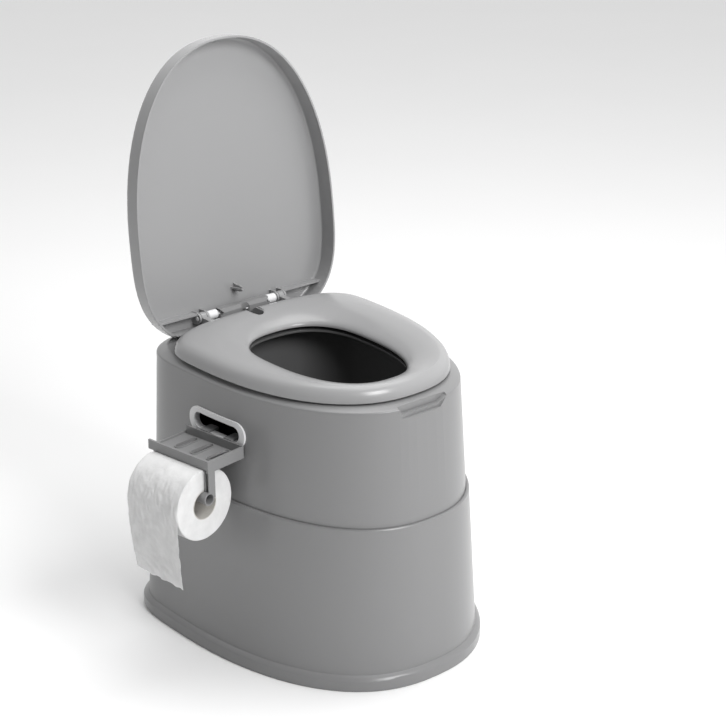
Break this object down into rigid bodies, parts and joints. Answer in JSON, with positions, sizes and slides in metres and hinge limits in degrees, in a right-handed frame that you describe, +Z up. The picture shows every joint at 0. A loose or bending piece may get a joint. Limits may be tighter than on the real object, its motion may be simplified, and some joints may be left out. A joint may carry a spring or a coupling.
{
  "type": "portable camp toilet",
  "caption": "Free-standing portable camp toilet: two-shell plastic body, lift-up seat and lid, hanging bucket inside, side hand slots and a hook-on paper holder with a roll.",
  "frame": {"origin": "on the floor, at the middle of the closed underside of the lower shell, below the seat", "axes": "+Z up; -Y is the front of the toilet, away from the hinge; the paper holder hangs on the -X side"},
  "size_m": [0.4777, 0.4633, 0.7664],
  "materials": {
    "shell_plastic": "gloss",
    "seat_plastic": "gloss",
    "bezel_plastic": "gloss",
    "holder_plastic": "satin",
    "bucket_plastic": "gloss",
    "bumper_rubber": "matt",
    "plunger_chrome": "polished",
    "wire_steel": "satin",
    "tissue": "matt",
    "core_card": "matt"
  },
  "bodies": {
    "body": {"lower_shell": "shell_plastic", "upper_shell": "shell_plastic", "handle_bezel_left": "bezel_plastic", "handle_bezel_right": "bezel_plastic", "bucket": "bucket_plastic", "bucket_bail": "wire_steel", "bail_grip": "bucket_plastic", "hinge_block": "shell_plastic", "hinge_pin_left": "bezel_plastic", "hinge_pin_right": "bezel_plastic", "plunger_housing": "shell_plastic", "plunger_housing_cap": "shell_plastic", "plunger_spring": "wire_steel"},
    "seat_ring": {"seat": "seat_plastic", "seat_bumper_front_left": "bumper_rubber", "seat_bumper_front_right": "bumper_rubber", "seat_bumper_rear_left": "bumper_rubber", "seat_bumper_rear_right": "bumper_rubber"},
    "lid_cover": {"lid": "seat_plastic"},
    "sprung_pin": {"plunger": "plunger_chrome"},
    "holder": {"paper_holder": "holder_plastic", "paper_tail": "tissue"},
    "roll": {"paper_roll": "tissue", "roll_core": "core_card"}
  },
  "joints": [
    {"name": "lid_hinge", "type": "hinge", "parent": "body", "child": "lid_cover", "pos_m": [0, 0.163, 0.396], "axis": [-1, 0, 0], "range_deg": [-96, 0]},
    {"name": "seat_hinge", "type": "hinge", "parent": "body", "child": "seat_ring", "pos_m": [0, 0.163, 0.396], "axis": [-1, 0, 0], "range_deg": [0, 95]},
    {"name": "plunger_press", "type": "slide", "parent": "body", "child": "sprung_pin", "axis": [0, 0, 1], "range_m": [-0.008, 0], "stiffness_N_per_m": 400, "springref_m": 0.003, "deforming": ["plunger_spring"]},
    {"name": "holder_unhook", "type": "slide", "parent": "body", "child": "holder", "axis": [-0.6993, -0.1045, 0.7071], "range_m": [0, 0.028]},
    {"name": "roll_spin", "type": "hinge", "parent": "holder", "child": "roll", "pos_m": [-0.22731, -0.00524, 0.2423], "axis": [-0.1478, 0.989, 0], "continuous": true}
  ]
}
